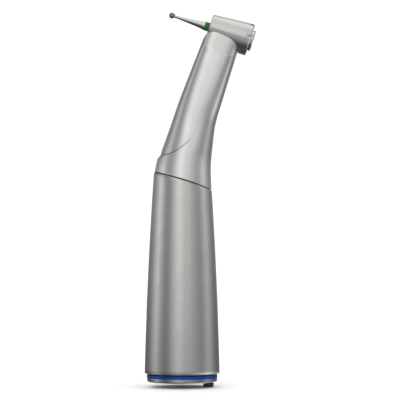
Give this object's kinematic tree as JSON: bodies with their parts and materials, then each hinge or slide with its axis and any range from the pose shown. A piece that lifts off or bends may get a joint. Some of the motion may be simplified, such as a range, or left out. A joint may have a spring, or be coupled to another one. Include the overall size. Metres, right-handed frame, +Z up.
{
  "type": "dental contra angle handpiece",
  "caption": "Angled dental handpiece: tapered round grip with a coupling socket, bent neck with bevel gears and push-button head holding a round latch bur.",
  "frame": {"origin": "centre of the rear face, at the mouth of the coupling socket", "axes": "+Z up the axis of the grip, the neck bends towards +X, the bur points to -X and slightly up"},
  "size_m": [0.03, 0.02, 0.1011],
  "materials": {
    "satin_steel": "bead-blasted satin stainless steel",
    "bright_steel": "ground stainless steel",
    "ball_steel": "polished bearing balls in a steel cage",
    "gear_steel": "hardened gear steel",
    "blue_ring": "blue colour ring",
    "green_band": "green grade band",
    "black_rubber": "black seal rubber",
    "black_plug": "black light plug",
    "glass": "clear glass rod",
    "aluminium": "turned steel",
    "tube_steel": "drawn stainless tube",
    "spring_steel": "spring steel"
  },
  "bodies": {
    "housing": {"rear_ring": "bright_steel", "ratio_ring": "blue_ring", "coupling_body": "bright_steel", "snap_ring": "spring_steel", "socket_seal_rear": "black_rubber", "socket_seal_front": "black_rubber", "grip_sleeve": "satin_steel", "light_plug": "black_plug", "light_rod": "glass", "light_window": "glass", "water_tube": "tube_steel", "air_tube": "tube_steel", "bearing_carrier": "aluminium", "carrier_nut": "spring_steel", "joint_collar": "aluminium", "joint_seal": "black_rubber", "neck_shell": "satin_steel", "neck_tube": "aluminium", "neck_spacer": "aluminium", "head_shell": "satin_steel", "head_cap": "satin_steel", "front_seal": "black_rubber", "water_nozzle": "tube_steel", "air_nozzle": "tube_steel", "grip_low_outer": "bright_steel", "grip_high_outer": "bright_steel", "neck_low_outer": "bright_steel", "neck_high_outer": "bright_steel", "front_outer": "bright_steel", "rear_outer": "bright_steel"},
    "grip_shaft": {"drive_shaft": "bright_steel", "bend_gear_lower": "gear_steel", "grip_low_inner": "bright_steel", "grip_high_inner": "bright_steel", "dog_spring": "spring_steel"},
    "dog": {"drive_dog": "bright_steel"},
    "neck_shaft": {"neck_shaft": "bright_steel", "bend_gear_upper": "gear_steel", "head_pinion": "gear_steel", "neck_low_inner": "bright_steel", "neck_high_inner": "bright_steel"},
    "chuck": {"chuck_spindle": "bright_steel", "spindle_gear": "gear_steel", "front_inner": "bright_steel", "rear_inner": "bright_steel"},
    "grip_low_cage": {"grip_low_balls": "ball_steel"},
    "grip_high_cage": {"grip_high_balls": "ball_steel"},
    "neck_low_cage": {"neck_low_balls": "ball_steel"},
    "neck_high_cage": {"neck_high_balls": "ball_steel"},
    "front_cage": {"front_balls": "ball_steel"},
    "rear_cage": {"rear_balls": "ball_steel"},
    "claw_left": {"claw_left": "gear_steel"},
    "claw_right": {"claw_right": "gear_steel"},
    "button": {"push_button": "satin_steel", "release_cone": "gear_steel", "button_spring": "spring_steel"},
    "bur": {"bur": "bright_steel", "bur_band": "green_band"}
  },
  "joints": [
    {"name": "drive_spin", "type": "hinge", "parent": "housing", "child": "grip_shaft", "pos_m": [0, 0, 0.04], "axis": [0, 0, 1], "continuous": true},
    {"name": "dog_slide", "type": "slide", "parent": "grip_shaft", "child": "dog", "axis": [0, 0, 1], "range_m": [0, 0.0015], "stiffness_N_per_m": 300, "springref_m": -0.002, "deforming": ["dog_spring"]},
    {"name": "neck_spin", "type": "hinge", "parent": "housing", "child": "neck_shaft", "pos_m": [0, 0, 0.0556], "axis": [0.304, 0, 0.9527], "continuous": true},
    {"name": "chuck_spin", "type": "hinge", "parent": "housing", "child": "chuck", "pos_m": [0.01227, 0, 0.09404], "axis": [0.9527, 0, -0.304], "continuous": true},
    {"name": "grip_low_cage_spin", "type": "hinge", "parent": "housing", "child": "grip_low_cage", "pos_m": [0, 0, 0.03075], "axis": [0, 0, 1], "continuous": true},
    {"name": "grip_high_cage_spin", "type": "hinge", "parent": "housing", "child": "grip_high_cage", "pos_m": [0, 0, 0.04875], "axis": [0, 0, 1], "continuous": true},
    {"name": "neck_low_cage_spin", "type": "hinge", "parent": "housing", "child": "neck_low_cage", "pos_m": [0, 0, 0.0556], "axis": [0.304, 0, 0.9527], "continuous": true},
    {"name": "neck_high_cage_spin", "type": "hinge", "parent": "housing", "child": "neck_high_cage", "pos_m": [0, 0, 0.0556], "axis": [0.304, 0, 0.9527], "continuous": true},
    {"name": "front_cage_spin", "type": "hinge", "parent": "housing", "child": "front_cage", "pos_m": [0.01227, 0, 0.09404], "axis": [0.9527, 0, -0.304], "continuous": true},
    {"name": "rear_cage_spin", "type": "hinge", "parent": "housing", "child": "rear_cage", "pos_m": [0.01227, 0, 0.09404], "axis": [0.9527, 0, -0.304], "continuous": true},
    {"name": "button_press", "type": "slide", "parent": "housing", "child": "button", "axis": [-0.9527, 0, 0.304], "range_m": [0, 0.0005], "stiffness_N_per_m": 1500, "springref_m": -0.0006, "deforming": ["button_spring"]},
    {"name": "claw_left_open", "type": "slide", "parent": "chuck", "child": "claw_left", "axis": [0, 1, 0], "range_m": [0, 0.0003]},
    {"name": "claw_right_open", "type": "slide", "parent": "chuck", "child": "claw_right", "axis": [0, -1, 0], "range_m": [0, 0.0003]},
    {"name": "bur_release", "type": "slide", "parent": "chuck", "child": "bur", "axis": [-0.9527, 0, 0.304], "range_m": [0, 0.0115]}
  ],
  "couplings": [
    {"joint": "neck_spin", "follows": "drive_spin", "ratio": 1},
    {"joint": "chuck_spin", "follows": "drive_spin", "ratio": 1},
    {"joint": "grip_low_cage_spin", "follows": "drive_spin", "ratio": 0.4},
    {"joint": "grip_high_cage_spin", "follows": "drive_spin", "ratio": 0.4},
    {"joint": "neck_low_cage_spin", "follows": "drive_spin", "ratio": 0.4},
    {"joint": "neck_high_cage_spin", "follows": "drive_spin", "ratio": 0.4},
    {"joint": "front_cage_spin", "follows": "drive_spin", "ratio": 0.4},
    {"joint": "rear_cage_spin", "follows": "drive_spin", "ratio": 0.4},
    {"joint": "claw_left_open", "follows": "button_press", "ratio": 0.6},
    {"joint": "claw_right_open", "follows": "button_press", "ratio": 0.6}
  ]
}
